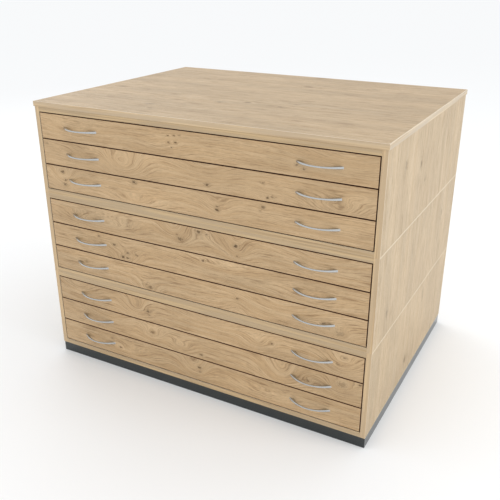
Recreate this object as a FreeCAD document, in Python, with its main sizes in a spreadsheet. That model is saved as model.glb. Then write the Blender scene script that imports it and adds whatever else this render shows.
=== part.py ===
# Flat file cabinet: three stacked modules of three shallow drawers, a worktop and a plinth.
#
# Millimetres. +X is to the right, +Y to the back and +Z up. The origin is on the floor, under the
# centre of the whole cabinet's box, handles included. Drawer 1 is the top one and drawer 9 the lowest.
import FreeCAD
import Part
import os
import re

import Sketcher
from FreeCAD import Vector

# ---------------------------------------------------------------- driving dimensions

SIZES = {
    "modules": 3,
    "drawers_per_module": 3,
    "cabinet_width": 1300,
    "cabinet_depth": 970,
    "module_height": 322,
    "board": 18,
    "edge_radius": 0.5,
    "worktop_overhang": 3,
    "plinth_height": 40,
    "plinth_setback": 3,
    "plinth_side_setback": 1,
    "back_thickness": 8,
    "back_setback": 20,
    "back_groove": 6,
    "drawer_gap": 3,
    "box_board": 12,
    "box_height": 64,
    "box_length": 890,
    "base_thickness": 6,
    "base_lift": 8,
    "base_groove": 6,
    "base_clearance": 0.5,
    "runner_space": 13,
    "runner_length": 850,
    "runner_inset": 22,
    "runner_height": 45,
    "runner_steel": 1.2,
    "runner_ball": 3.1,
    "runner_web_gap": 1,
    "cabinet_member_gap": 2.5,
    "middle_member_gap": 1.5,
    "handle_inset": 200,
    "handle_length": 149,
    "handle_centres": 128,
    "handle_projection": 27,
    "handle_reach": 22.5,
    "handle_finger_width": 112,
    "handle_middle_height": 5,
    "handle_end_height": 9,
    "handle_edge": 0.8,
    "thread_core": 3.3,
    "thread_depth": 5.5,
    "thread_end_gap": 0.5,
    "screw_thread": 3.25,
    "screw_shank": 4,
    "screw_hole": 4.5,
    "screw_head": 8,
    "screw_head_height": 2.6,
    "cam_diameter": 15,
    "cam_depth": 12.5,
    "cam_inset": 24,
    "cam_slot": 2,
    "cam_slot_length": 10,
    "bolt_thread": 5,
    "bolt_grip": 11,
    "bolt_shank": 7,
    "fitting_clearance": 0.1,
    "fitting_front": 60,
    "fitting_back": 860,
    "dowel_diameter": 8,
    "dowel_length": 30,
    "dowel_front": 180,
    "dowel_back": 740,
}

# Lengths worked out from the driving ones, as expressions on their names.
INNER_WIDTH = "(cabinet_width - 2 * board)"
INNER_DEPTH = "(cabinet_depth - back_setback - back_thickness)"
FRONT_PLANE = "(-(cabinet_depth + worktop_overhang - handle_projection) / 2)"
FRONT_WIDTH = f"({INNER_WIDTH} - 2 * drawer_gap)"
FRONT_HEIGHT = (
    "((module_height - 2 * board - (drawers_per_module + 1) * drawer_gap) / drawers_per_module)"
)
FRONT_MIDDLE = f"({FRONT_HEIGHT} / 2)"
BOX_WIDTH = f"({INNER_WIDTH} - 2 * runner_space)"
BOX_INNER_WIDTH = f"({BOX_WIDTH} - 2 * box_board)"
BASE_TOP = "(base_lift + base_thickness)"
HANDLE_X = "(cabinet_width / 2 - handle_inset)"
STACK_TOP = "(plinth_height + modules * module_height)"
DOWEL_X = "(cabinet_width / 2 - board / 2)"
SIDE_NAMES = ("left", "right")
MODULE_NAMES = ("lower", "middle", "upper")

document = FreeCAD.newDocument("flat_file_cabinet")
nodes = []


# ---------------------------------------------------------------- binding to the sheet


def make_sheet():
    """The spreadsheet with one row for each driving dimension: its name and its size."""
    sheet = document.addObject("Spreadsheet::Sheet", "Sizes")
    for row, (name, size) in enumerate(SIZES.items(), start=1):
        sheet.set(f"A{row}", name)
        sheet.set(f"B{row}", str(size))
        sheet.setAlias(f"B{row}", name)
    document.recompute()
    return sheet


def bound(expression):
    """The expression with each name turned into a reference to its cell in the sheet."""
    return re.sub(r"[a-z_]+", lambda word: "Sizes." + word.group(), expression)


def number(expression):
    """What the expression comes to with the sheet's present sizes."""
    return float(sizes.evalExpression(bound(expression)))


def bind(thing, **expressions):
    """Bind each named property of the object to its expression."""
    for name, expression in expressions.items():
        thing.setExpression(name, bound(expression))


def place(thing, x="0", y="0", z="0"):
    """Bind the object's position to three expressions."""
    for axis, expression in zip("xyz", (x, y, z)):
        thing.setExpression("Placement.Base." + axis, bound(expression))


def node(thing, name):
    """Label the object as one of the cabinet's sub-parts, which are written at the end."""
    thing.Label = name
    nodes.append(thing)
    return thing


# ---------------------------------------------------------------- sketches and features


def new_sketch(body, name, plane, lift="0"):
    """An empty sketch on one of the body's own origin planes, moved along its normal by lift."""
    sketch = body.newObject("Sketcher::SketchObject", name)
    support = next(part for part in body.Origin.OriginFeatures if part.Role == plane)
    sketch.AttachmentSupport = [(support, "")]
    sketch.MapMode = "FlatFace"
    sketch.setExpression("AttachmentOffset.Base.z", bound(lift))
    return sketch


def pin_point(sketch, element, end, x, y):
    """Fix a point of the sketch at x, y from the sketch's origin."""
    for kind, expression in (("DistanceX", x), ("DistanceY", y)):
        constraint = Sketcher.Constraint(kind, -1, 1, element, end, number(expression))
        index = sketch.addConstraint(constraint)
        sketch.setExpression(f"Constraints[{index}]", bound(expression))


def draw_outline(sketch, corners):
    """A closed outline of straight lines through the corners, each an (x, y) pair of expressions."""
    first = sketch.GeometryCount
    points = [Vector(number(x), number(y), 0) for x, y in corners]
    count = len(points)
    for i in range(count):
        sketch.addGeometry(Part.LineSegment(points[i], points[(i + 1) % count]))
    for i, (x, y) in enumerate(corners):
        following = first + (i + 1) % count
        sketch.addConstraint(Sketcher.Constraint("Coincident", first + i, 2, following, 1))
        pin_point(sketch, first + i, 1, x, y)


def draw_circles(sketch, centres, diameter):
    """Circles of one diameter about the centres, each an (x, y) pair of expressions."""
    for x, y in centres:
        centre = Vector(number(x), number(y), 0)
        circle = Part.Circle(centre, Vector(0, 0, 1), number(diameter) / 2)
        index = sketch.addGeometry(circle)
        pin_point(sketch, index, 3, x, y)
        size = sketch.addConstraint(Sketcher.Constraint("Diameter", index, number(diameter)))
        sketch.setExpression(f"Constraints[{size}]", bound(diameter))


def draw_bow(sketch, half_chord, middle, end):
    """An arc through (-half_chord, end), (0, middle) and (half_chord, end).

    Returns its index in the sketch, and which of its ends is the left and the right one.
    """
    across = number(half_chord)
    left = Vector(-across, number(end), 0)
    right = Vector(across, number(end), 0)
    index = sketch.addGeometry(Part.Arc(left, Vector(0, number(middle), 0), right))
    left_end = 1 if sketch.getPoint(index, 1).x < 0 else 2
    right_end = 3 - left_end
    centre = f"(({half_chord} ^ 2 + {end} ^ 2 - {middle} ^ 2) / (2 * ({end} - {middle})))"
    pin_point(sketch, index, 3, "0", centre)
    pin_point(sketch, index, left_end, f"(-{half_chord})", end)
    mirror_axis = -2
    sketch.addConstraint(
        Sketcher.Constraint("Symmetric", index, left_end, index, right_end, mirror_axis)
    )
    return index, left_end, right_end


def draw_link(sketch, from_curve, from_end, to_curve, to_end):
    """A straight line from an end of one curve to an end of another."""
    start = sketch.getPoint(from_curve, from_end)
    finish = sketch.getPoint(to_curve, to_end)
    index = sketch.addGeometry(Part.LineSegment(start, finish))
    sketch.addConstraint(Sketcher.Constraint("Coincident", index, 1, from_curve, from_end))
    sketch.addConstraint(Sketcher.Constraint("Coincident", index, 2, to_curve, to_end))


def pad(body, sketch, length, backwards=False, both_ways=False):
    """Extrude the sketch along its normal, against it, or half each way."""
    feature = body.newObject("PartDesign::Pad", sketch.Name + "_pad")
    feature.Profile = sketch
    feature.Midplane = both_ways
    feature.Reversed = backwards
    bind(feature, Length=length)
    document.recompute()
    return feature


def pocket(body, sketch, depth=None, backwards=False, both_ways=False):
    """Cut the sketch into the body, right through where no depth is given."""
    before = body.Shape.Volume
    feature = body.newObject("PartDesign::Pocket", sketch.Name + "_pocket")
    feature.Profile = sketch
    feature.Midplane = both_ways
    feature.Reversed = backwards
    if depth is None:
        feature.Type = "ThroughAll"
    else:
        bind(feature, Length=depth)
    document.recompute()
    if body.Shape.Volume >= before:
        raise RuntimeError(f"{feature.Name} cuts nothing")
    return feature


def ease_edges(body, radius, edges=None):
    """Round the named edges of the body, or every edge that it has so far."""
    sharp = body.Tip
    feature = body.newObject("PartDesign::Fillet", body.Name + "_eased")
    feature.Base = (sharp, edges or [""])
    feature.UseAllEdges = edges is None
    bind(feature, Radius=radius)
    document.recompute()


# ---------------------------------------------------------------- boards, mirrors and groups


def make_board(name, width, depth, height, eased=False):
    """A rectangular board with its lower left front corner at its own origin."""
    body = document.addObject("PartDesign::Body", name)
    sketch = new_sketch(body, name + "_plan", "XY_Plane")
    draw_outline(sketch, [("0", "0"), (width, "0"), (width, depth), ("0", depth)])
    pad(body, sketch, height)
    if eased:
        ease_edges(body, "edge_radius")
    return body


def make_plain_board(name, width, depth, height):
    """A rectangular board with no other work on it, as a plain box."""
    box = document.addObject("Part::Box", name)
    bind(box, Length=width, Width=depth, Height=height)
    return box


def make_mirrored(source, name):
    """The right-hand twin of a left-hand piece, across the cabinet's middle plane."""
    twin = document.addObject("Part::Mirroring", name)
    twin.Source = source
    twin.Normal = Vector(1, 0, 0)
    return twin


def make_copy(source, name, x="0", y="0", z="0"):
    """Another piece of the same shape, in another place."""
    copy = document.addObject("App::Link", name)
    copy.LinkedObject = source
    place(copy, x, y, z)
    return copy


def make_group(name, members):
    """A sub-part of several separate solids."""
    group = document.addObject("Part::Compound", name)
    group.Links = members
    return node(group, name)


# ---------------------------------------------------------------- carcass


def module_floor(module):
    """Height of the underside of a module, counted from the lowest."""
    return f"(plinth_height + {module} * module_height)"


def make_side(module):
    """A module's left and right sides, grooved for the back and drilled for fittings and dowels."""
    name = f"{MODULE_NAMES[module]}_left_side"
    body = make_board(name, "board", "cabinet_depth", "module_height", eased=True)

    groove = new_sketch(body, name + "_groove", "XY_Plane")
    groove_left = "(board - back_groove)"
    groove_back = f"({INNER_DEPTH} + back_thickness)"
    draw_outline(
        groove,
        [
            (groove_left, INNER_DEPTH),
            ("board", INNER_DEPTH),
            ("board", groove_back),
            (groove_left, groove_back),
        ],
    )
    pocket(body, groove, backwards=True)

    bolt_holes = new_sketch(body, name + "_bolt_holes", "YZ_Plane", "board")
    bolt_height_below_top = "(module_height - board / 2)"
    centres = [
        (y, z)
        for y in ("fitting_front", "fitting_back")
        for z in ("(board / 2)", bolt_height_below_top)
    ]
    draw_circles(bolt_holes, centres, "(bolt_thread + fitting_clearance)")
    pocket(body, bolt_holes, "bolt_grip")

    dowel_centres = [("(board / 2)", "dowel_front"), ("(board / 2)", "dowel_back")]
    for end, lift, backwards in (("foot", "0", True), ("head", "module_height", False)):
        sketch = new_sketch(body, f"{name}_{end}_holes", "XY_Plane", lift)
        draw_circles(sketch, dowel_centres, "(dowel_diameter + fitting_clearance)")
        pocket(body, sketch, "(dowel_length / 2)", backwards)

    place(body, "(-cabinet_width / 2)", FRONT_PLANE, module_floor(module))
    node(body, name)
    right_name = f"{MODULE_NAMES[module]}_right_side"
    node(make_mirrored(body, right_name), right_name)


def cam_centres():
    """Where the cams sit in a top or bottom board, from its front left corner."""
    far = f"({INNER_WIDTH} - cam_inset)"
    return [(x, y) for x in ("cam_inset", far) for y in ("fitting_front", "fitting_back")]


def make_module_boards(module):
    """A module's bottom and top boards, between its sides, with the cam bores on their hidden faces."""
    members = []
    floor = module_floor(module)
    top_board_z = f"({floor} + module_height - board)"
    for which, z, cams_below in (("bottom", floor, True), ("top", top_board_z, False)):
        name = f"{MODULE_NAMES[module]}_{which}_board"
        body = make_board(name, INNER_WIDTH, INNER_DEPTH, "board", eased=True)

        cam_face = "0" if cams_below else "board"
        cam_bores = new_sketch(body, name + "_cam_bores", "XY_Plane", cam_face)
        draw_circles(cam_bores, cam_centres(), "(cam_diameter + fitting_clearance)")
        pocket(body, cam_bores, "cam_depth", backwards=cams_below)

        for end, face in (("left", "0"), ("right", INNER_WIDTH)):
            edge = new_sketch(body, f"{name}_{end}_bolt_holes", "YZ_Plane", face)
            centres = [("fitting_front", "(board / 2)"), ("fitting_back", "(board / 2)")]
            draw_circles(edge, centres, "(bolt_shank + fitting_clearance)")
            pocket(body, edge, "cam_inset", backwards=(end == "left"))

        place(body, f"(-{INNER_WIDTH} / 2)", FRONT_PLANE, z)
        members.append(body)
    make_group(f"{MODULE_NAMES[module]}_boards", members)


def make_back_panels():
    """The three backs, each in the grooves of its module's sides."""
    members = []
    for module, module_name in enumerate(MODULE_NAMES):
        width = f"({INNER_WIDTH} + 2 * back_groove)"
        panel = make_plain_board(f"{module_name}_back", width, "back_thickness", "module_height")
        place(panel, f"(-{width} / 2)", f"({FRONT_PLANE} + {INNER_DEPTH})", module_floor(module))
        members.append(panel)
    make_group("back_panels", members)


def make_worktop():
    """The top board, a little larger than the carcass, with blind holes for the dowels below."""
    width = "(cabinet_width + 2 * worktop_overhang)"
    depth = "(cabinet_depth + 2 * worktop_overhang)"
    body = make_board("worktop", width, depth, "board", eased=True)
    sketch = new_sketch(body, "worktop_dowel_holes", "XY_Plane")
    near_side = "(worktop_overhang + board / 2)"
    far_side = f"({width} - worktop_overhang - board / 2)"
    centres = [
        (x, f"(worktop_overhang + {y})")
        for x in (near_side, far_side)
        for y in ("dowel_front", "dowel_back")
    ]
    draw_circles(sketch, centres, "(dowel_diameter + fitting_clearance)")
    pocket(body, sketch, "(dowel_length / 2)", backwards=True)
    place(body, f"(-{width} / 2)", f"({FRONT_PLANE} - worktop_overhang)", STACK_TOP)
    node(body, "worktop")


def make_plinth():
    """Front and back rails, with side rails and a centre rail between them."""
    width = "(cabinet_width - 2 * plinth_side_setback)"
    front = f"({FRONT_PLANE} + plinth_setback)"
    depth = "(cabinet_depth - 2 * plinth_setback)"
    back_rail_y = f"({front} + {depth} - board)"
    inner_depth = f"({depth} - 2 * board)"
    members = []
    for name, y in (("plinth_front", front), ("plinth_back", back_rail_y)):
        rail = make_board(name, width, "board", "plinth_height", eased=True)
        place(rail, f"(-{width} / 2)", y)
        members.append(rail)

    side = make_board("plinth_left", "board", inner_depth, "plinth_height")
    holes = new_sketch(side, "plinth_dowel_holes", "XY_Plane", "plinth_height")
    across = "(board / 2 - plinth_side_setback)"
    along = [f"({y} - plinth_setback - board)" for y in ("dowel_front", "dowel_back")]
    centres = [(across, y) for y in along]
    draw_circles(holes, centres, "(dowel_diameter + fitting_clearance)")
    pocket(side, holes, "(dowel_length / 2)")
    place(side, f"(-{width} / 2)", f"({front} + board)")
    members.append(side)
    members.append(make_mirrored(side, "plinth_right"))

    centre = make_plain_board("plinth_centre", "board", inner_depth, "plinth_height")
    place(centre, "(-board / 2)", f"({front} + board)")
    members.append(centre)
    make_group("plinth", members)


def make_dowels():
    """Wooden dowels that locate plinth, modules and worktop on one another."""
    dowel = document.addObject("Part::Cylinder", "dowel")
    bind(dowel, Radius="dowel_diameter / 2", Height="dowel_length")
    members = []
    for seam in range(len(MODULE_NAMES) + 1):
        z = f"({module_floor(seam)} - dowel_length / 2)"
        for side, x in zip(SIDE_NAMES, (f"(-{DOWEL_X})", DOWEL_X)):
            for end in ("front", "back"):
                y = f"({FRONT_PLANE} + dowel_{end})"
                members.append(make_copy(dowel, f"dowel_{seam}_{side}_{end}", x, y, z))
    make_group("locating_dowels", members)


def make_cam():
    """A cam with a cross slot in its head, standing on its own origin."""
    body = document.addObject("PartDesign::Body", "cam")
    disc = new_sketch(body, "cam_disc", "XY_Plane")
    draw_circles(disc, [("0", "0")], "cam_diameter")
    pad(body, disc, "cam_depth")
    half_slot = "(cam_slot / 2)"
    half_reach = "(cam_slot_length / 2)"
    for name, x, y in (("along", half_reach, half_slot), ("across", half_slot, half_reach)):
        slot = new_sketch(body, "cam_slot_" + name, "XY_Plane", "cam_depth")
        corners = [(f"(-{x})", f"(-{y})"), (x, f"(-{y})"), (x, y), (f"(-{x})", y)]
        draw_outline(slot, corners)
        pocket(body, slot, "cam_slot")
    return body


def make_cam_bolt():
    """A bolt along X: its thread grips the side, and its shank reaches the cam."""
    body = document.addObject("PartDesign::Body", "cam_bolt")
    thread = new_sketch(body, "cam_bolt_thread", "YZ_Plane")
    draw_circles(thread, [("0", "0")], "bolt_thread")
    pad(body, thread, "bolt_grip", backwards=True)
    shank = new_sketch(body, "cam_bolt_shank", "YZ_Plane")
    draw_circles(shank, [("0", "0")], "bolt_shank")
    pad(body, shank, "(cam_inset - cam_diameter / 2)")
    return body


def make_cam_fittings():
    """A cam and a bolt at each corner of every top and bottom board."""
    cam = make_cam()
    cam_down = document.addObject("Part::Mirroring", "cam_down")
    cam_down.Source = cam
    cam_down.Normal = Vector(0, 0, 1)
    bolt = make_cam_bolt()
    bolt_right = make_mirrored(bolt, "cam_bolt_right")
    members = []
    for module, module_name in enumerate(MODULE_NAMES):
        floor = module_floor(module)
        top = f"({floor} + module_height)"
        levels = (
            ("bottom", cam_down, f"({floor} + cam_depth)", f"({floor} + board / 2)"),
            ("top", cam, f"({top} - cam_depth)", f"({top} - board / 2)"),
        )
        for level, cam_shape, cam_z, bolt_z in levels:
            for side, sign, bolt_shape in zip(SIDE_NAMES, "-+", (bolt, bolt_right)):
                for end in ("front", "back"):
                    label = f"{module_name}_{level}_{side}_{end}"
                    y = f"({FRONT_PLANE} + fitting_{end})"
                    cam_x = f"({sign}({INNER_WIDTH} / 2 - cam_inset))"
                    bolt_x = f"({sign}({INNER_WIDTH} / 2))"
                    members.append(make_copy(cam_shape, "cam_" + label, cam_x, y, cam_z))
                    members.append(make_copy(bolt_shape, "bolt_" + label, bolt_x, y, bolt_z))
    make_group("cam_fittings", members)


# ---------------------------------------------------------------- runners


def make_channel(name, web, reach, opening, height):
    """A pressed steel channel along Y. Its web stands at x = web, and its flanges reach to x = reach.

    opening is the side that its web is on: "left" for a channel that opens to the right.
    """
    body = document.addObject("PartDesign::Body", name)
    section = new_sketch(body, name + "_section", "XZ_Plane")
    inner = f"({web} + runner_steel)" if opening == "left" else f"({web} - runner_steel)"
    outside = f"({height} / 2)"
    inside = f"({height} / 2 - runner_steel)"
    draw_outline(
        section,
        [
            (web, f"(-{outside})"),
            (reach, f"(-{outside})"),
            (reach, f"(-{inside})"),
            (inner, f"(-{inside})"),
            (inner, inside),
            (reach, inside),
            (reach, outside),
            (web, outside),
        ],
    )
    pad(body, section, "runner_length", backwards=True)
    return body


def make_runner_members():
    """The three members of a left runner and their mirror images for the right.

    x is counted from the cabinet's side. Each member lies inside the one before, with a row of
    balls above and below it, so it is lower by two ball rows and two thicknesses of steel.
    """
    step = "2 * (runner_ball + runner_steel)"
    middle_height = f"(runner_height - {step})"
    drawer_height = f"({middle_height} - {step})"
    cabinet_reach = "(runner_space - cabinet_member_gap)"
    middle_web = "(runner_steel + runner_web_gap)"
    middle_reach = "(runner_space - middle_member_gap)"
    drawer_reach = f"({middle_web} + runner_steel + runner_web_gap)"
    cabinet = make_channel("cabinet_member", "0", cabinet_reach, "left", "runner_height")
    middle = make_channel("middle_member", middle_web, middle_reach, "left", middle_height)
    drawer = make_channel("drawer_member", "runner_space", drawer_reach, "right", drawer_height)
    pairs = {}
    for kind, member in (("cabinet", cabinet), ("middle", middle), ("drawer", drawer)):
        pairs[kind] = (member, make_mirrored(member, kind + "_member_right"))
    return pairs


def runner_pair(kind, drawer, z):
    """The left and right members of one kind for one drawer, in place."""
    y = f"({FRONT_PLANE} + runner_inset)"
    places = (f"(-{INNER_WIDTH} / 2)", f"({INNER_WIDTH} / 2)")
    return [
        make_copy(member, f"{kind}_member_{drawer}_{side}", x, y, z)
        for member, side, x in zip(runner_members[kind], SIDE_NAMES, places)
    ]


# ---------------------------------------------------------------- drawers


def make_handle():
    """A bow handle: a flat bow in plan, slim at the middle and taller at its two feet."""
    body = document.addObject("PartDesign::Body", "handle")
    plan = new_sketch(body, "handle_plan", "XY_Plane")
    outer, outer_left, outer_right = draw_bow(
        plan, "(handle_length / 2)", "(-handle_projection)", "0"
    )
    inner, inner_left, inner_right = draw_bow(
        plan, "(handle_finger_width / 2)", "(-handle_reach)", "0"
    )
    draw_link(plan, outer, outer_left, inner, inner_left)
    draw_link(plan, inner, inner_right, outer, outer_right)
    pad(body, plan, "handle_end_height", both_ways=True)

    waist = new_sketch(body, "handle_waist", "XZ_Plane")
    for sign in "+-":
        middle = f"({sign}handle_middle_height / 2)"
        end = f"({sign}handle_end_height / 2)"
        bow, left, right = draw_bow(waist, "(handle_length / 2)", middle, end)
        draw_link(waist, bow, left, bow, right)
    pocket(body, waist, both_ways=True)

    shortest_bow = number("handle_length / 2")
    bows = [
        f"Edge{i}"
        for i, edge in enumerate(body.Shape.Edges, start=1)
        if edge.Length > shortest_bow
    ]
    ease_edges(body, "handle_edge", bows)

    holes = new_sketch(body, "handle_screw_holes", "XZ_Plane")
    centres = [("(-handle_centres / 2)", "0"), ("(handle_centres / 2)", "0")]
    draw_circles(holes, centres, "thread_core")
    pocket(body, holes, "thread_depth", backwards=True)
    return body


def make_handle_screw():
    """A pan-head screw along Y. Its head's underside is at its origin, and its tip is in a handle."""
    body = document.addObject("PartDesign::Body", "handle_screw")
    head = new_sketch(body, "screw_head", "XZ_Plane")
    draw_circles(head, [("0", "0")], "screw_head")
    pad(body, head, "screw_head_height", backwards=True)
    shank = new_sketch(body, "screw_shank", "XZ_Plane")
    draw_circles(shank, [("0", "0")], "screw_shank")
    pad(body, shank, "(board + box_board)")
    thread = new_sketch(body, "screw_thread", "XZ_Plane", "(board + box_board)")
    draw_circles(thread, [("0", "0")], "screw_thread")
    pad(body, thread, "(thread_depth - thread_end_gap)")
    return body


def screw_places():
    """The four screws' x positions, from the middle of the drawer."""
    return [
        f"({side}{HANDLE_X} {end} handle_centres / 2)" for side in "-+" for end in "-+"
    ]


def drawer_floor(drawer):
    """Height of the underside of a drawer's front. Drawer 1 is the top one."""
    module, place_in_module = divmod(drawer - 1, drawers_per_module)
    modules_below = modules - module
    top = f"(plinth_height + {modules_below} * module_height - board)"
    return f"({top} - {place_in_module + 1} * (drawer_gap + {FRONT_HEIGHT}))"


def make_front(drawer, floor):
    """An inset drawer front with its four screw holes."""
    name = f"drawer_{drawer}_front"
    body = make_board(name, FRONT_WIDTH, "board", FRONT_HEIGHT, eased=True)
    sketch = new_sketch(body, name + "_screw_holes", "XZ_Plane")
    centres = [(f"({FRONT_WIDTH} / 2 + {x})", FRONT_MIDDLE) for x in screw_places()]
    draw_circles(sketch, centres, "screw_hole")
    pocket(body, sketch)
    place(body, f"(-{FRONT_WIDTH} / 2)", FRONT_PLANE, floor)
    node(body, name)


def make_grooved_board(name, plane, length, backwards=False):
    """A drawer box's board, extruded from the plane, with a groove for the base in its inner face."""
    body = document.addObject("PartDesign::Body", name)
    section = new_sketch(body, name + "_section", plane)
    groove = "(box_board - base_groove)"
    draw_outline(
        section,
        [
            ("0", "0"),
            ("box_board", "0"),
            ("box_board", "base_lift"),
            (groove, "base_lift"),
            (groove, BASE_TOP),
            ("box_board", BASE_TOP),
            ("box_board", "box_height"),
            ("0", "box_height"),
        ],
    )
    pad(body, section, length, backwards)
    return body


def make_box_inner_front():
    """The board behind the drawer front, grooved for the base and drilled for the handle screws."""
    body = make_grooved_board("box_inner_front", "YZ_Plane", BOX_INNER_WIDTH)
    holes = new_sketch(body, "box_inner_front_holes", "XZ_Plane")
    centres = [(f"({BOX_INNER_WIDTH} / 2 + {x})", "(box_height / 2)") for x in screw_places()]
    draw_circles(holes, centres, "screw_hole")
    pocket(body, holes)
    return body


def make_box_pieces():
    """The five pieces of a drawer box, each with its place from the box's front bottom middle."""
    side = make_grooved_board("box_side", "XZ_Plane", "box_length", backwards=True)
    back_height = f"(box_height - {BASE_TOP})"
    back = make_plain_board("box_back", BOX_INNER_WIDTH, "box_board", back_height)
    base_width = f"({BOX_INNER_WIDTH} + 2 * (base_groove - base_clearance))"
    base_front = "(box_board - base_groove + base_clearance)"
    base_length = f"(box_length - {base_front})"
    base = make_plain_board("box_base", base_width, base_length, "base_thickness")
    half = f"({BOX_WIDTH} / 2)"
    inner_left = f"(-{BOX_INNER_WIDTH} / 2)"
    return (
        (side, f"(-{half})", "0", "0"),
        (make_mirrored(side, "box_side_right"), half, "0", "0"),
        (make_box_inner_front(), inner_left, "0", "0"),
        (back, inner_left, "(box_length - box_board)", BASE_TOP),
        (base, f"(-{base_width} / 2)", base_front, "base_lift"),
    )


def make_drawer(drawer):
    """One drawer: its front, box, handles with their screws, and runner members."""
    floor = drawer_floor(drawer)
    middle = f"({floor} + {FRONT_MIDDLE})"
    box_front = f"({FRONT_PLANE} + board)"
    box_floor = f"({middle} - box_height / 2)"
    make_front(drawer, floor)

    box = [
        make_copy(piece, f"{piece.Name}_{drawer}", x, f"({box_front} + {y})", f"({box_floor} + {z})")
        for piece, x, y, z in box_pieces
    ]
    make_group(f"drawer_{drawer}_box", box)

    handles = [
        make_copy(handle, f"handle_{drawer}_{side}", f"({sign}{HANDLE_X})", FRONT_PLANE, middle)
        for side, sign in zip(SIDE_NAMES, "-+")
    ]
    head_seat = f"({box_front} + box_board)"
    screws = [
        make_copy(handle_screw, f"handle_screw_{drawer}_{i}", x, head_seat, middle)
        for i, x in enumerate(screw_places(), start=1)
    ]
    make_group(f"drawer_{drawer}_handles", handles + screws)

    make_group(f"drawer_{drawer}_runners", runner_pair("drawer", drawer, middle))
    make_group(f"middle_runners_{drawer}", runner_pair("middle", drawer, middle))
    return runner_pair("cabinet", drawer, middle)


# ---------------------------------------------------------------- building and writing


def check_document():
    """Stop if any object failed to compute, or any sub-part has no sound shape."""
    for thing in document.Objects:
        if {"Invalid", "Error"} & set(thing.State):
            raise RuntimeError(f"{thing.Label} is {thing.State}")
    for part in nodes:
        if part.Shape.isNull() or not part.Shape.isValid() or not part.Shape.Solids:
            raise RuntimeError(f"{part.Label} has no valid solid")


def write_nodes():
    """Write each sub-part to a STEP file of its own."""
    os.makedirs("parts", exist_ok=True)
    for part in nodes:
        part.Shape.exportStep(f"parts/{part.Label}.step")


sizes = make_sheet()
modules = int(number("modules"))
drawers_per_module = int(number("drawers_per_module"))

make_plinth()
for module in range(modules):
    make_side(module)
    make_module_boards(module)
make_back_panels()
make_worktop()
make_dowels()
make_cam_fittings()

runner_members = make_runner_members()
handle = make_handle()
handle_screw = make_handle_screw()
box_pieces = make_box_pieces()
cabinet_members = []
for drawer in range(1, modules * drawers_per_module + 1):
    cabinet_members += make_drawer(drawer)
make_group("cabinet_runners", cabinet_members)

document.recompute()
check_document()
write_nodes()
print(len(nodes), "sub-parts written")
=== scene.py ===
"""Flat file cabinet: the finishes, fine pieces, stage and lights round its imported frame.

Metres. +X is to the right, +Y to the back and +Z up, as in the frame.
"""

import math
from collections import namedtuple

import bmesh
import bpy
from mathutils import Matrix, Vector


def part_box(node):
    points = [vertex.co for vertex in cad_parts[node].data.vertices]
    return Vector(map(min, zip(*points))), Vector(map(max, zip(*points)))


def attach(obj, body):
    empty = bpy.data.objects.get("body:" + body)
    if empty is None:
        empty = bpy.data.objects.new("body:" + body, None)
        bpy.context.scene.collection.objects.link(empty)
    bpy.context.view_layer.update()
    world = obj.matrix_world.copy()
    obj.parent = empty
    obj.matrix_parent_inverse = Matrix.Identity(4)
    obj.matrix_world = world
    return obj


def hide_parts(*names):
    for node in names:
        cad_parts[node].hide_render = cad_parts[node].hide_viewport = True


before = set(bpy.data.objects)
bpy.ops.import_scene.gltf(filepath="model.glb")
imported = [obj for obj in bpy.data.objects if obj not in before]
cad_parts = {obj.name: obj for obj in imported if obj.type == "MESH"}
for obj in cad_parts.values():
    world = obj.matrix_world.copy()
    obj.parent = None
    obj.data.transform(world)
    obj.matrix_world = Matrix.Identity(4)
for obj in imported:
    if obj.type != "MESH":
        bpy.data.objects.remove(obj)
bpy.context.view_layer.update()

bl_info = {
    "name": "Flat file cabinet",
    "version": (1, 0, 0),
    "blender": (4, 5, 0),
    "location": "3D View > Sidebar > Cabinet",
    "description": "Finishes, handles, runner details and a stage for a flat file cabinet",
    "category": "Object",
}

MM = 0.001
DRAWERS = range(1, 10)
MODULE_DRAWERS = {"upper": (1, 2, 3), "middle": (4, 5, 6), "lower": (7, 8, 9)}
MODULES = tuple(MODULE_DRAWERS)
SIDES = {"left": -1, "right": 1}

# Where a knot lies on a board: along the grain and across it from the board's middle, its radius,
# all in millimetres, and how dark it is, from 0 to 1.
Knot = namedtuple("Knot", "along across radius dark")
# Where the grain swells into a loop or an arch: its middle, how far it reaches along and across the
# grain, in millimetres, and by how many rings it lifts the grain.
Loop = namedtuple("Loop", "along across length width rings")
# How a board's own place is turned so that the grain runs along X and the face looks along Z, and
# which of the frame's axes then lie along X, Y and Z.
Turn = namedtuple("Turn", "rotation order")
# The strips round a board: their colour, their colour where they show on its faces, which on the
# carcass is paler as a painted highlight, and how thick.
Strips = namedtuple("Strips", "colour arris thickness")
# An oak board: its turn, the seed of its grain, its knots and loops, how strongly the grain shows,
# the tint of its face against the settings' colours, and its strips.
Board = namedtuple("Board", "turn seed knots loops contrast tint strips")
# A plain finish: how its mottling is stretched along each axis and how strong it is, how rough the
# surface is and how far that varies, its relief in metres, and the shader's own plain values.
Finish = namedtuple("Finish", "stretch strength rough spread relief values")
# A ball cage: its kind, how far its web lies inside the middle member's outer face, how wide its
# flanges are, how far they lie above and below its middle, and how far from its web the balls run.
Cage = namedtuple("Cage", "kind inset width height ball_offset")

ALONG_X_FACE_Y = Turn((math.radians(90), 0.0, 0.0), (0, 2, 1))
ALONG_X_FACE_Z = Turn((0.0, 0.0, 0.0), (0, 1, 2))
ALONG_Z_FACE_X = Turn((0.0, math.radians(-90), 0.0), (2, 1, 0))

PLAIN_TINT = (1.0, 1.0, 1.0)
WORKTOP_TINT = (0.885, 0.94, 1.02)
# The sides' bluish tint is painted cool light: it colours their oak as if a cool lamp at the right lit
# them.
SIDE_PAINTED_COOL_LIGHT_TINT = (0.90, 1.0, 1.16)
# How strongly the grain shows on the carcass boards, and on the fronts of each module.
WORKTOP_CONTRAST, SIDE_CONTRAST, SHELF_CONTRAST = 1.1, 0.95, 0.6
FRONT_CONTRAST = {"upper": 0.95, "middle": 1.2, "lower": 1.2}
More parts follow.
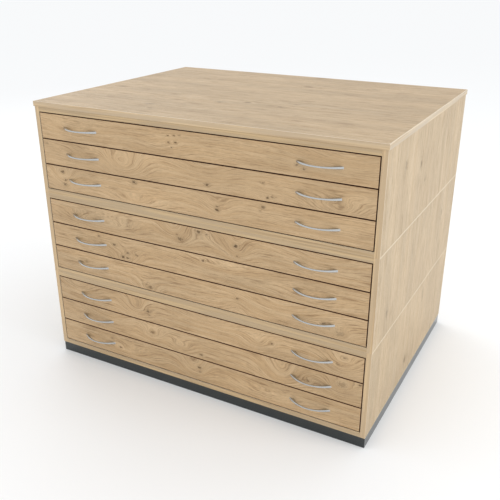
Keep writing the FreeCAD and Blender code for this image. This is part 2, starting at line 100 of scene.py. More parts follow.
# Seeds that give each board its own grain. A front's seed is its drawer's number, and the left and
# right sides' seeds lie this far below and above the side seed.
WORKTOP_SEED, SIDE_SEED, SHELF_SEED = 11, 20, 30
SIDE_SEED_STEP = 5
OAK_RELIEF = 0.12 * MM

METAL = {"Metallic": 1.0}
LACQUERED = {"Coat Weight": 0.35, "Coat Roughness": 0.08}
FINISHES = {
    "satin_steel": Finish((40.0, 900.0, 900.0), 0.1, 0.22, 0.1, 0.01 * MM, METAL),
    "screw_steel": Finish((900.0, 900.0, 900.0), 0.2, 0.35, 0.1, 0.01 * MM, METAL),
    "zinc_plate": Finish((60.0, 4.0, 60.0), 0.2, 0.32, 0.15, 0.02 * MM, METAL),
    "ball_steel": Finish((300.0, 300.0, 300.0), 0.2, 0.25, 0.1, 0.01 * MM, METAL),
    "cast_zinc": Finish((500.0, 500.0, 500.0), 0.3, 0.45, 0.1, 0.05 * MM, METAL),
    "birch_board": Finish((30.0, 6.0, 300.0), 0.25, 0.5, 0.1, 0.05 * MM, {}),
    "fibre_board": Finish((200.0, 200.0, 200.0), 0.2, 0.7, 0.1, 0.05 * MM, {"IOR": 1.45}),
    "slate_laminate": Finish((400.0, 400.0, 400.0), 0.3, 0.22, 0.1, 0.02 * MM, LACQUERED),
    "turned_beech": Finish((300.0, 300.0, 20.0), 0.3, 0.6, 0.1, 0.1 * MM, {}),
}

RUNNER_WEB = 1.2 * MM
CAGE_SHEET = 0.6 * MM
CAGES = (
    Cage("outer", -0.5 * MM, 7.2 * MM, 19.75 * MM, 4.8 * MM),
    Cage("inner", 1.7 * MM, 6.2 * MM, 15.45 * MM, 3.6 * MM),
)
# How far the cages' middle lies behind the front end of the middle member, in lengths of a cage.
CAGE_PLACE = 0.6
# Edges that turn further than this stay crisp.
CRISP_EDGE = math.radians(35)

# Where the lamps hang round the cabinet: azimuth and elevation in degrees, and what they light.
LAMPS = {"right_lamp": (90, 22), "back_lamp": (240, 40)}
LAMP_AIM = (0.0, 0.0, 0.5)
CAMERA_AIM = (0.0821, -0.2145, 0.5)

FRONT_KNOTS = {
    1: (
        Knot(-78, 24, 2, 0.8), Knot(-54, 27, 2, 0.7), Knot(-76, 2, 3, 0.6), Knot(-66, -13, 2, 0.8),
        Knot(-50, 4, 3, 0.9), Knot(-34, 30, 2, 0.6), Knot(378, -10, 3, 0.6), Knot(401, -21, 3, 0.6),
    ),
    2: (
        Knot(67, -24, 4, 0.8), Knot(283, -33, 3, 0.8), Knot(299, -29, 3, 0.6), Knot(268, 12, 3, 0.5),
        Knot(-612, 30, 4, 0.4),
    ),
    3: (
        Knot(-551, 26, 5, 0.8), Knot(-540, -2, 4, 0.8), Knot(-544, -20, 5, 0.7), Knot(-227, 35, 5, 0.9),
        Knot(102, -10, 4, 0.9), Knot(101, 3, 3, 0.7), Knot(268, 28, 4, 0.7), Knot(258, 14, 2, 0.6),
    ),
    4: (
        Knot(-48, -6, 6, 0.7), Knot(-60, 8, 3, 0.5), Knot(29, 35, 5, 0.8), Knot(58, 30, 3, 0.6),
        Knot(169, 11, 4, 0.9), Knot(174, -24, 3, 0.5),
    ),
    5: (
        Knot(-408, 30, 3, 0.7), Knot(-339, 10, 4, 0.7), Knot(-302, -31, 5, 0.9),
        Knot(-279, -32, 4, 0.8), Knot(-280, -12, 4, 0.7), Knot(-238, -13, 4, 0.6),
        Knot(43, 27, 3, 0.8),
    ),
    6: (
        Knot(-188, -33, 6, 0.6), Knot(-204, -25, 3, 0.6), Knot(173, 10, 3, 0.6), Knot(490, -4, 5, 0.8),
        Knot(543, -23, 9, 0.35), Knot(-480, 8, 3, 0.5),
    ),
    7: (
        Knot(-205, -3, 5, 0.7), Knot(-200, -18, 3, 0.5), Knot(305, 6, 3, 0.8), Knot(562, 28, 4, 0.5),
        Knot(545, -2, 3, 0.5),
    ),
    8: (
        Knot(-190, 8, 6, 0.6), Knot(23, -28, 4, 0.6), Knot(441, -3, 5, 0.5), Knot(559, 20, 9, 0.4),
        Knot(622, 38, 3, 0.8),
    ),
    9: (
        Knot(-351, -10, 3, 0.8), Knot(13, 10, 4, 0.8), Knot(15, -8, 3, 0.5), Knot(-390, 20, 3, 0.4),
    ),
}
FRONT_LOOPS = {
    1: (Loop(-130, -20, 90, 40, 3), Loop(-480, -4, 140, 26, 3), Loop(540, 30, 170, 50, 8)),
    2: (
        Loop(-270, -6, 90, 50, 13), Loop(-450, 10, 100, 30, 4), Loop(60, 35, 100, 40, 9),
        Loop(190, -45, 80, 34, -8), Loop(520, -40, 110, 40, 9),
    ),
    3: (Loop(-548, 0, 50, 50, 8), Loop(-230, -40, 120, 30, 6), Loop(105, -4, 60, 40, 6)),
    4: (
        Loop(-380, -14, 230, 34, 9), Loop(-70, 40, 50, 50, 10), Loop(30, 40, 60, 30, -7),
        Loop(175, 0, 50, 50, 7), Loop(480, 40, 120, 40, 7),
    ),
    5: (Loop(-285, -50, 60, 60, 10), Loop(120, 14, 160, 30, 5), Loop(430, -30, 140, 30, 5)),
    6: (
        Loop(-200, -45, 60, 40, 8), Loop(330, 45, 130, 60, 14), Loop(520, -30, 90, 44, 8),
        Loop(170, -20, 50, 40, -5),
    ),
    7: (
        Loop(-530, 16, 90, 40, 8), Loop(-255, 0, 60, 40, 10), Loop(60, 45, 120, 40, 9),
        Loop(250, -10, 60, 40, 7), Loop(560, 0, 70, 50, 9),
    ),
    8: (
        Loop(-400, 30, 110, 40, 8), Loop(-190, 6, 46, 32, 8), Loop(-70, -20, 60, 30, 6),
        Loop(345, -6, 80, 70, 13), Loop(560, 16, 60, 40, 8),
    ),
    9: (Loop(-300, -20, 140, 36, 6), Loop(-10, 0, 60, 60, 9), Loop(300, -24, 200, 40, 6)),
}
WORKTOP_KNOTS = (
    Knot(-571, -86, 9, 0.5), Knot(-58, -191, 6, 0.7), Knot(31, -151, 6, 0.7), Knot(173, -174, 7, 0.4),
    Knot(-257, -333, 7, 0.5), Knot(-210, -395, 6, 0.4), Knot(92, 244, 12, 0.4), Knot(338, 310, 7, 0.4),
)
WORKTOP_LOOPS = (
    Loop(-200, -330, 300, 60, 5), Loop(180, -170, 320, 60, 5), Loop(-350, 120, 420, 90, 6),
    Loop(420, 230, 340, 80, 6),
)
SIDE_KNOTS = {
    "upper": (Knot(30, -110, 7, 0.6), Knot(-40, -40, 6, 0.5), Knot(70, -290, 9, 0.4)),
    "middle": (Knot(-75, -360, 7, 0.5), Knot(60, 290, 8, 0.4)),
    "lower": (Knot(-95, -60, 9, 0.6), Knot(110, 120, 7, 0.3)),
}
SIDE_LOOPS = {
    "upper": (Loop(-20, -250, 220, 60, 4), Loop(40, 90, 200, 70, 5)),
    "middle": (Loop(0, -330, 230, 60, 4), Loop(-30, 180, 240, 80, 5)),
    "lower": (Loop(-60, -80, 200, 70, 5), Loop(30, 300, 230, 60, 4)),
}


# ---------------------------------------------------------------- settings


def colour_setting(name, description, default):
    """A colour that a user can change."""
    return bpy.props.FloatVectorProperty(
        name=name, description=description, default=default, subtype="COLOR", size=3, min=0, max=1
    )


def length_setting(name, description, default):
    """A length in metres that a user can change."""
    return bpy.props.FloatProperty(
        name=name, description=description, default=default, subtype="DISTANCE", unit="LENGTH"
    )


def angle_setting(name, description, degrees):
    """An angle that a user can change, given here in degrees."""
    return bpy.props.FloatProperty(
        name=name, description=description, default=math.radians(degrees), subtype="ANGLE"
    )


def share_setting(name, description, default, highest=1.0):
    """A plain number that a user can change."""
    return bpy.props.FloatProperty(
        name=name, description=description, default=default, min=0, max=highest
    )


class CABINET_PG_oak(bpy.types.PropertyGroup):
    """The oak-faced boards."""

    pale: colour_setting("Pale wood", "Lightest wood between the rings", (0.575, 0.405, 0.228))
    warm: colour_setting("Warm wood", "Usual wood between the rings", (0.515, 0.345, 0.180))
    ring: colour_setting("Rings", "Dark line of a year's ring", (0.25, 0.145, 0.062))
    knot: colour_setting("Knots", "Heart of a knot", (0.095, 0.052, 0.013))
    edging: colour_setting("Side edging", "Strips round the sides", (0.60, 0.435, 0.24))
    # Where the carcass strips show on the faces they are paler than the strips: a painted highlight
    # along the edges and joints, on top of the strips' own ends.
    side_arris: colour_setting("Side arris", "Those strips, seen on the faces", (0.62, 0.53, 0.39))
    rail_edging: colour_setting(
        "Rail edging", "Strips round the modules' top and bottom boards", (0.525, 0.380, 0.205)
    )
    worktop_edging: colour_setting(
        "Worktop edging", "Strips round the worktop", (0.60, 0.45, 0.265)
    )
    # Paler still on the worktop: a painted highlight along its edges, on top of the strips' own ends.
    worktop_arris_highlight: colour_setting(
        "Worktop arris", "Those strips, seen on the faces", (0.74, 0.655, 0.52)
    )
    # The fronts' strips are near black-brown: painted shade that stands in for the shadow in the gaps
    # between the drawers.
    front_edging: colour_setting(
        "Front edging", "Smoked strips round the drawer fronts", (0.10, 0.030, 0.004)
    )
    rings: share_setting("Rings per metre", "How close the year's rings lie", 165.0, 1000.0)
    wander: share_setting("Wander", "By how many rings the grain strays", 2.2, 50.0)
    edging_thickness: length_setting(
        "Carcass strips", "Thickness of the carcass boards' strips", 0.002
    )
    front_edging_thickness: length_setting(
        "Front strips", "Thickness of the fronts' strips", 0.0008
    )


class CABINET_PG_handle(bpy.types.PropertyGroup):
    """The bow handles and their screws."""

    steel: colour_setting("Steel", "Satin steel of the bows", (0.50, 0.51, 0.51))
    screw_steel: colour_setting("Screw steel", "Steel of the bows' screws", (0.55, 0.55, 0.56))
    length: length_setting("Length", "From end to end of a bow", 0.149)
    finger_width: length_setting("Finger width", "Opening between the feet", 0.112)
    projection: length_setting("Projection", "How far a bow stands out", 0.027)
    reach: length_setting("Reach", "Depth of the finger opening", 0.0225)
    middle_height: length_setting("Middle height", "Height at the middle", 0.005)
    end_height: length_setting("End height", "Height of the feet", 0.009)
    from_middle: length_setting("From the middle", "From the drawer's middle to a bow's", 0.45)
    centres: length_setting("Screw centres", "Between the two screws of a bow", 0.128)
    screw_head: length_setting("Screw head", "Diameter of a handle screw's head", 0.008)
    screw_head_height: length_setting("Head height", "Height of a handle screw's head", 0.0026)
    screw_shank: length_setting("Screw shank", "Diameter of a handle screw's shank", 0.004)
    screw_length: length_setting("Screw length", "From the underside of the head to the tip", 0.035)


class CABINET_PG_runner(bpy.types.PropertyGroup):
    """The runners' screws and ball cages."""

    zinc: colour_setting("Zinc", "Bright zinc on the runners", (0.62, 0.63, 0.64))
    ball_steel: colour_setting("Ball steel", "Steel of the cages and screws", (0.50, 0.50, 0.51))
    screw_head: length_setting("Screw head", "Diameter of a runner screw's head", 0.0075)
    screw_head_height: length_setting("Head height", "Height of a runner screw's head", 0.0018)
    screw_shank: length_setting("Screw shank", "Diameter of a runner screw's shank", 0.0035)
    screw_length: length_setting("Screw length", "From the underside of the head to the tip", 0.012)
    first_screw: length_setting("First screw", "From a runner's front end to its first screw", 0.037)
    screw_gap: length_setting("Screw gap", "Between a runner's screws", 0.256)
    screws: bpy.props.IntProperty(name="Screws", description="Screws on each member", default=4, min=1)
    ball: length_setting("Ball", "Diameter of the balls", 0.0031)
    ball_gap: length_setting("Ball gap", "Between the balls of a row", 0.009)
    balls: bpy.props.IntProperty(name="Balls", description="Balls in each row", default=12, min=2)


class CABINET_PG_insides(bpy.types.PropertyGroup):
    """The drawer boxes, backs, fittings and plinth."""

    birch: colour_setting("Birch", "Boards of the drawer boxes", (0.72, 0.60, 0.43))
    fibre: colour_setting("Fibre board", "Back panels", (0.60, 0.52, 0.40))
    back_joint: length_setting("Back joint", "Half width of the joints between panels", 0.0014)
    slate: colour_setting("Slate", "Laminate of the plinth", (0.011, 0.016, 0.0165))
    beech: colour_setting("Beech", "Turned dowels", (0.56, 0.37, 0.20))
    cast_zinc: colour_setting("Cast zinc", "Cam fittings", (0.42, 0.42, 0.43))


class CABINET_PG_stage(bpy.types.PropertyGroup):
    """Floor, lamps and camera."""

    floor: colour_setting("Floor", "Pale floor", (0.895, 0.906, 0.916))
    floor_size: length_setting("Floor size", "Side of the square floor", 80.0)
    sky: share_setting("Sky", "Strength of the even white light all round", 1.05, 10.0)
    right_lamp: share_setting("Right lamp", "Watts of the soft lamp at the right", 66.0, 1000.0)
    back_lamp: share_setting("Back lamp", "Watts of the soft lamp behind the left", 25.0, 1000.0)
    lamp_size: length_setting("Lamp size", "Diameter of the lamps", 3.0)
    lamp_distance: length_setting("Lamp distance", "From the lamps to the cabinet", 5.0)
    azimuth: angle_setting("Azimuth", "Camera's turn from the front towards the right", 28.5)
    elevation: angle_setting("Elevation", "Camera's angle above the floor", 23.16)
    distance: length_setting("Distance", "From the camera to the point it looks at", 2.4587)
    lens: share_setting("Lens", "Focal length in millimetres", 47.98, 300.0)


class CABINET_PG_settings(bpy.types.PropertyGroup):
    """All that a user would change."""

    oak: bpy.props.PointerProperty(type=CABINET_PG_oak)
    handle: bpy.props.PointerProperty(type=CABINET_PG_handle)
    runner: bpy.props.PointerProperty(type=CABINET_PG_runner)
    insides: bpy.props.PointerProperty(type=CABINET_PG_insides)
    stage: bpy.props.PointerProperty(type=CABINET_PG_stage)


# ---------------------------------------------------------------- shader nodes


def feed(tree, socket, value):
    """Feed a socket from another node, or set it to a plain value."""
    if isinstance(value, bpy.types.NodeSocket):
        tree.links.new(value, socket)
    else:
        socket.default_value = value


def add_node(tree, kind, inputs=(), **settings):
    """A new node with its settings, and its inputs fed by name or number."""
    node = tree.nodes.new(kind)
    for name, value in settings.items():
        setattr(node, name, value)
    for key, value in dict(inputs).items():
        feed(tree, node.inputs[key], value)
    return node


def work_out(tree, operation, *values):
    """The number that a Math node gives."""
    return add_node(tree, "ShaderNodeMath", enumerate(values), operation=operation).outputs[0]


def work_out_vector(tree, operation, *values):
    """The vector that a Vector Math node gives."""
    node = add_node(tree, "ShaderNodeVectorMath", enumerate(values), operation=operation)
    return node.outputs["Vector"]


def split(tree, vector):
    """The X, Y and Z of a vector."""
    return add_node(tree, "ShaderNodeSeparateXYZ", {0: vector}).outputs


def join(tree, *parts):
    """The vector with the given X, Y and Z."""
    return add_node(tree, "ShaderNodeCombineXYZ", enumerate(parts)).outputs[0]


def grey(tree, shade):
    """The grey of a shade."""
    return add_node(tree, "ShaderNodeCombineColor", {0: shade, 1: shade, 2: shade}).outputs[0]


def length_of(tree, vector):
    """The length of a vector."""
    node = add_node(tree, "ShaderNodeVectorMath", {0: vector}, operation="LENGTH")
    return node.outputs["Value"]


def fade(tree, value, start, end, low=0.0, high=1.0):
    """A smooth step from low to high as the value goes from start to end."""
    ends = {"Value": value, "From Min": start, "From Max": end, "To Min": low, "To Max": high}
    node = add_node(tree, "ShaderNodeMapRange", ends, interpolation_type="SMOOTHSTEP")
    return node.outputs["Result"]


def noise(tree, place, stretch, detail=2.0, roughness=0.5):
    """Soft noise from 0 to 1 whose grain along each axis is one over its stretch."""
    stretched = work_out_vector(tree, "MULTIPLY", place, stretch)
    inputs = {"Vector": stretched, "Scale": 1.0, "Detail": detail, "Roughness": roughness}
    return add_node(tree, "ShaderNodeTexNoise", inputs).outputs["Fac"]


def mix(tree, share, first, second, how="MIX"):
    """The first colour mixed with the second. The colours' sockets are known by number only."""
    inputs = {0: share, 6: first, 7: second}
    node = add_node(tree, "ShaderNodeMix", inputs, data_type="RGBA", blend_type=how)
    return node.outputs[2]


def tint(tree, colour, shade):
    """The colour multiplied by a shade."""
    return mix(tree, 1.0, colour, shade, "MULTIPLY")


def opaque(colour):
    """A colour with its alpha."""
    return (*colour, 1.0)


def new_group(name, inputs, outputs):
    """An empty shader node group. Returns its tree, what it is given and what it puts out.

    inputs are (title, kind, default) and outputs (title, kind).
    """
    tree = bpy.data.node_groups.new(name, "ShaderNodeTree")
    for title, kind, default in inputs:
        socket = tree.interface.new_socket(title, in_out="INPUT", socket_type="NodeSocket" + kind)
        if default is not None:
            socket.default_value = default
    for title, kind in outputs:
        tree.interface.new_socket(title, in_out="OUTPUT", socket_type="NodeSocket" + kind)
    given = tree.nodes.new("NodeGroupInput").outputs
    wanted = tree.nodes.new("NodeGroupOutput").inputs
    return tree, given, wanted


def use_group(tree, name, inputs):
    """The outputs of one of the shared node groups."""
    group = bpy.data.node_groups[name]
    return add_node(tree, "ShaderNodeGroup", inputs, node_tree=group).outputs


# ---------------------------------------------------------------- shared effects


def build_loop_group():
    """grain_loop: lifts the grain into an arch or a closed loop."""
    tree, given, wanted = new_group(
        "grain_loop",
        [
            ("Place", "Vector", None),
            ("Lift", "Float", 0.0),
            ("Middle", "Vector", None),
            ("Spread", "Vector", (1.0, 1.0, 1.0)),
            ("Rings", "Float", 3.0),
        ],
        [("Lift", "Float")],
    )
    offset = work_out_vector(tree, "SUBTRACT", given["Place"], given["Middle"])
    reach = length_of(tree, work_out_vector(tree, "DIVIDE", offset, given["Spread"]))
    fall = work_out(tree, "MULTIPLY", work_out(tree, "POWER", reach, 2.0), -1.0)
    near = work_out(tree, "EXPONENT", fall)
    rise = work_out(tree, "MULTIPLY_ADD", near, given["Rings"], given["Lift"])
    feed(tree, wanted["Lift"], rise)


def build_knot_group():
    """wood_knot: opens the grain round a knot, rings the knot and darkens its heart."""
    tree, given, wanted = new_group(
        "wood_knot",
        [
            ("Place", "Vector", None),
            ("Lift", "Float", 0.0),
            ("Heart", "Float", 0.0),
            ("Middle", "Vector", None),
            ("Radius", "Float", 0.005),
            ("Dark", "Float", 0.7),
            ("Rings", "Float", 120.0),
        ],
        [("Lift", "Float"), ("Heart", "Float")],
    )
    # Knots are longer along the grain than across it, and their edges are ragged. The reaches that
    # follow are in knot radii.
    flatten = (0.6, 1.0, 0.0)
    raggedness = 2.6
    heart_edge, heart_middle = 1.35, 0.6
    halo_edge, halo_middle, halo_dark = 3.5, 0.5, 0.25
    ringed_edge, ringed_by = 3.0, 1.4
    parting, parting_fall = -0.8, -0.09

    offset = work_out_vector(tree, "SUBTRACT", given["Place"], given["Middle"])
    flat = work_out_vector(tree, "MULTIPLY", offset, flatten)
    distance = work_out(tree, "DIVIDE", length_of(tree, flat), given["Radius"])
    ragged = noise(tree, given["Place"], stretch=(150.0, 230.0, 150.0), detail=2.0)
    ragged = work_out(tree, "SUBTRACT", ragged, 0.5)
    rough_distance = work_out(tree, "MULTIPLY_ADD", ragged, raggedness, distance)

    fall = work_out(tree, "MULTIPLY", work_out(tree, "POWER", distance, 2.0), parting_fall)
    near = work_out(tree, "EXPONENT", fall)
    across = work_out(tree, "MULTIPLY", split(tree, offset)["Y"], near)
    parted = work_out(tree, "MULTIPLY", across, given["Rings"])
    lift = work_out(tree, "MULTIPLY_ADD", parted, parting, given["Lift"])
    ringed = work_out(tree, "MULTIPLY", fade(tree, rough_distance, ringed_edge, 0.0), ringed_by)
    feed(tree, wanted["Lift"], work_out(tree, "ADD", lift, ringed))

    heart = fade(tree, rough_distance, heart_edge, heart_middle)
    heart = work_out(tree, "MULTIPLY", heart, given["Dark"])
    halo = fade(tree, rough_distance, halo_edge, halo_middle, high=halo_dark)
    halo = work_out(tree, "MULTIPLY", halo, given["Dark"])
    darkest = work_out(tree, "MAXIMUM", heart, halo)
    feed(tree, wanted["Heart"], work_out(tree, "MAXIMUM", given["Heart"], darkest))


def build_oak_group():
    """oak_figure: colour, roughness and relief of an oak face. Place runs along X with the grain."""
    tree, given, wanted = new_group(
        "oak_figure",
        [
            ("Place", "Vector", None),
            ("Lift", "Float", 0.0),
            ("Heart", "Float", 0.0),
            ("Seed", "Float", 0.0),
            ("Rings", "Float", 120.0),
            ("Wander", "Float", 4.0),
            ("Contrast", "Float", 1.0),
            ("Pale", "Color", None),
            ("Warm", "Color", None),
            ("Ring", "Color", None),
            ("Knot", "Color", None),
        ],
        [("Colour", "Color"), ("Roughness", "Float"), ("Height", "Float")],
    )
    # The seed moves a board to its own place in the noise, and to its own rings.
    seed_along, seed_across, seed_rings = 7.31, 3.17, 13.7
    shift_along = work_out(tree, "MULTIPLY", given["Seed"], seed_along)
    shift_across = work_out(tree, "MULTIPLY", given["Seed"], seed_across)
    place = work_out_vector(tree, "ADD", given["Place"], join(tree, shift_along, shift_across))

    # The rings run straight along X until waves of three sizes, the loops and the knots bend them.
    long_waves = noise(tree, place, stretch=(1.6, 9.0, 9.0), detail=1.0)
    short_waves = noise(tree, place, stretch=(7.0, 34.0, 34.0), detail=2.0)
    ripples = noise(tree, place, stretch=(26.0, 80.0, 80.0), detail=2.0)
    across = split(tree, given["Place"])["Y"]
    rings = work_out(tree, "MULTIPLY_ADD", across, given["Rings"], given["Lift"])
    for waves, share in ((long_waves, 2.0), (short_waves, 0.5), (ripples, 0.32)):
        centred = work_out(tree, "SUBTRACT", waves, 0.5)
        stray = work_out(tree, "MULTIPLY", centred, given["Wander"])
        rings = work_out(tree, "MULTIPLY_ADD", stray, share, rings)
    rings = work_out(tree, "ADD", rings, work_out(tree, "MULTIPLY", given["Seed"], seed_rings))

    # These patterns follow the bent rings, and cloud and flare the board itself.
    flow = join(tree, split(tree, place)["X"], rings)
    broad = noise(tree, flow, stretch=(2.0, 0.45, 1.0), detail=2.0)
    tight = noise(tree, flow, stretch=(12.0, 1.9, 1.0), detail=3.0, roughness=0.65)
    fibre = noise(tree, flow, stretch=(45.0, 6.0, 1.0), detail=2.0, roughness=0.6)
    pores = noise(tree, flow, stretch=(70.0, 9.0, 1.0), detail=1.0)
    cloud = noise(tree, place, stretch=(2.6, 11.0, 11.0), detail=2.0)
    flare = noise(tree, place, stretch=(9.0, 60.0, 60.0), detail=2.0)

    # From pale to warm wood.
    tone = work_out(tree, "SUBTRACT", fade(tree, broad, 0.30, 0.70), 0.5)
    contrast_squared = work_out(tree, "MULTIPLY", given["Contrast"], given["Contrast"])
    tone = work_out(tree, "MULTIPLY_ADD", tone, contrast_squared, 0.5)
    colour = mix(tree, tone, given["Pale"], given["Warm"])

    # The rings' dark lines, the pores and the knots.
    ring_dark = 0.78
    flared = fade(tree, flare, 0.25, 0.65, low=0.35)
    line = work_out(tree, "MULTIPLY", fade(tree, tight, 0.45, 0.70), flared)
    line = work_out(tree, "MULTIPLY", line, given["Contrast"])
    colour = mix(tree, work_out(tree, "MULTIPLY", line, ring_dark), colour, given["Ring"])
    pore_dark = fade(tree, tight, 0.35, 0.75, low=0.20, high=0.65)
    pore = work_out(tree, "MULTIPLY", fade(tree, pores, 0.56, 0.72), pore_dark)
    pore = work_out(tree, "MULTIPLY", pore, given["Contrast"])
    colour = mix(tree, pore, colour, given["Ring"])
    colour = mix(tree, given["Heart"], colour, given["Knot"])

    fine = fade(tree, fibre, 0.25, 0.75, low=0.87, high=1.12)
    patch = fade(tree, cloud, 0.25, 0.75, low=0.90, high=1.08)
    shade = work_out(tree, "MULTIPLY", fine, patch)
    feed(tree, wanted["Colour"], tint(tree, colour, grey(tree, shade)))

    # The rings' lines and the fibre are a little duller, and the pores are sunk.
    roughness, ring_dulls, fibre_dulls, fibre_height = 0.46, 0.10, 0.10, 0.5
    dull = work_out(tree, "MULTIPLY_ADD", line, ring_dulls, roughness)
    feed(tree, wanted["Roughness"], work_out(tree, "MULTIPLY_ADD", fibre, fibre_dulls, dull))
    raised = work_out(tree, "MULTIPLY", fibre, fibre_height)
    feed(tree, wanted["Height"], work_out(tree, "SUBTRACT", raised, pore))


def build_edging_group():
    """edge_strip: tells the edging from the face, gives the strip its fine straight streaks, and gives
    the strips' ends a bluer copy of their colour as painted cool light.
    """
    tree, given, wanted = new_group(
        "edge_strip",
        [
            ("Place", "Vector", None),
            ("Facing", "Vector", None),
            ("Seed", "Float", 0.0),
            ("Colour", "Color", None),
            ("Arris", "Color", None),
            ("Reach", "Vector", (1.0, 1.0, 1.0)),
            ("Thickness", "Float", 0.001),
        ],
        [("Colour", "Color"), ("Strip", "Float")],
    )
    facing, place, reach = (split(tree, given[name]) for name in ("Facing", "Place", "Reach"))
    straight_on = 0.7
    on_face, on_end = (
        work_out(tree, "GREATER_THAN", work_out(tree, "ABSOLUTE", facing[axis]), straight_on)
        for axis in "ZX"
    )

    # Streaks run along X on the long edges and along Y on the ends.
    seed_along = 5.3
    run = work_out(tree, "MULTIPLY", given["Seed"], seed_along)
    for axis, weight in (("X", work_out(tree, "SUBTRACT", 1.0, on_end)), ("Y", on_end)):
        run = work_out(tree, "ADD", run, work_out(tree, "MULTIPLY", place[axis], weight))
    strip = join(tree, run, place["Z"], given["Seed"])
    streaks = noise(tree, strip, stretch=(2.0, 140.0, 1.0), detail=3.0, roughness=0.6)
    hairs = noise(tree, strip, stretch=(12.0, 1400.0, 1.0), detail=1.0)
    patch = noise(tree, strip, stretch=(2.5, 60.0, 1.0), detail=1.0)
    dark = tint(tree, given["Colour"], opaque((0.68, 0.63, 0.63)))
    light = tint(tree, given["Colour"], opaque((1.10, 1.10, 1.12)))
    rosy = tint(tree, given["Colour"], opaque((0.86, 0.88, 0.99)))
    colour = mix(tree, fade(tree, streaks, 0.28, 0.58), dark, light)
    colour = mix(tree, fade(tree, hairs, 0.55, 0.75, high=0.25), colour, dark)
    colour = mix(tree, fade(tree, patch, 0.40, 0.60, high=0.85), colour, rosy)
    # The strips' ends take a bluer copy of their colour: painted cool light, as if a cool lamp at the
    # right lit them.
    painted_cool_light = tint(tree, colour, opaque((0.92, 1.0, 1.14)))
    colour = mix(tree, on_end, colour, painted_cool_light)
    # Where a strip shows on the board's face it takes the arris colour: a paler painted highlight on
    # the carcass, and the dark painted shade of the strips on the fronts.
    feed(tree, wanted["Colour"], mix(tree, on_face, colour, given["Arris"]))

    # Veneer is what faces Z and lies further from the edges than the strips' thickness.
    inside = []
    for axis in "XY":
        from_edge = work_out(tree, "SUBTRACT", reach[axis], work_out(tree, "ABSOLUTE", place[axis]))
        inside.append(work_out(tree, "GREATER_THAN", from_edge, given["Thickness"]))
    veneer = work_out(tree, "MULTIPLY", on_face, work_out(tree, "MULTIPLY", *inside))
    feed(tree, wanted["Strip"], work_out(tree, "SUBTRACT", 1.0, veneer))


def build_dust_group():
    """fine_grain: faint uneven mottling for plain laminates and metals."""
    tree, given, wanted = new_group(
        "fine_grain",
        [
            ("Place", "Vector", None),
            ("Stretch", "Vector", (100.0, 100.0, 100.0)),
            ("Colour", "Color", None),
            ("Strength", "Float", 0.1),
            ("Rough", "Float", 0.4),
            ("Spread", "Float", 0.1),
        ],
        [("Colour", "Color"), ("Roughness", "Float"), ("Height", "Float")],
    )
    stretched = work_out_vector(tree, "MULTIPLY", given["Place"], given["Stretch"])
    fine = noise(tree, stretched, stretch=(1.0, 1.0, 1.0), detail=4.0, roughness=0.6)
    cloud = noise(tree, given["Place"], stretch=(5.0, 5.0, 5.0), detail=2.0)
    swing = work_out(tree, "SUBTRACT", work_out(tree, "ADD", fine, cloud), 1.0)
    shade = work_out(tree, "MULTIPLY_ADD", swing, given["Strength"], 1.0)
    feed(tree, wanted["Colour"], tint(tree, given["Colour"], grey(tree, shade)))
    roughness = work_out(tree, "MULTIPLY_ADD", swing, given["Spread"], given["Rough"])
    feed(tree, wanted["Roughness"], roughness)
    feed(tree, wanted["Height"], fine)


# ---------------------------------------------------------------- materials


def new_material(name, values):
    """A material with a Principled shader set to the plain values. Returns it, its tree and shader."""
    material = bpy.data.materials.new(name)
    material.use_nodes = True
    tree = material.node_tree
    shader = tree.nodes["Principled BSDF"]
    for key, value in values.items():
        shader.inputs[key].default_value = value
    return material, tree, shader


def add_bump(tree, shader, height, relief):
    """Relief of the given depth in metres where the height goes from 0 to 1."""
    bump = add_node(tree, "ShaderNodeBump", {"Height": height, "Distance": relief, "Strength": 1.0})
    feed(tree, shader.inputs["Normal"], bump.outputs["Normal"])


def find_place(tree, node, turn):
    """A board's own place from its middle and the way it faces, turned with the grain along X."""
    coordinates = add_node(tree, "ShaderNodeTexCoord").outputs
    inputs = {
        "Vector": coordinates["Object"], "Location": middle_of(node), "Rotation": turn.rotation
    }
    place = add_node(tree, "ShaderNodeMapping", inputs, vector_type="TEXTURE").outputs[0]
    inputs = {"Vector": coordinates["Normal"], "Rotation": turn.rotation}
    facing = add_node(tree, "ShaderNodeMapping", inputs, vector_type="TEXTURE").outputs[0]
    return place, facing


def bend_grain(tree, place, board, rings):
    """How far a board's loops and knots lift its rings, and where its knots' hearts are."""
    lift, heart = 0.0, 0.0
    for loop in board.loops:
        inputs = {
            "Place": place,
            "Lift": lift,
            "Middle": (loop.along * MM, loop.across * MM, 0.0),
            "Spread": (loop.length * MM, loop.width * MM, 1.0),
            "Rings": loop.rings,
        }
        lift = use_group(tree, "grain_loop", inputs)["Lift"]
    for knot in board.knots:
        inputs = {
            "Place": place,
            "Lift": lift,
            "Heart": heart,
            "Middle": (knot.along * MM, knot.across * MM, 0.0),
            "Radius": knot.radius * MM,
            "Dark": knot.dark,
            "Rings": rings,
        }
        lift, heart = use_group(tree, "wood_knot", inputs)
    return lift, heart


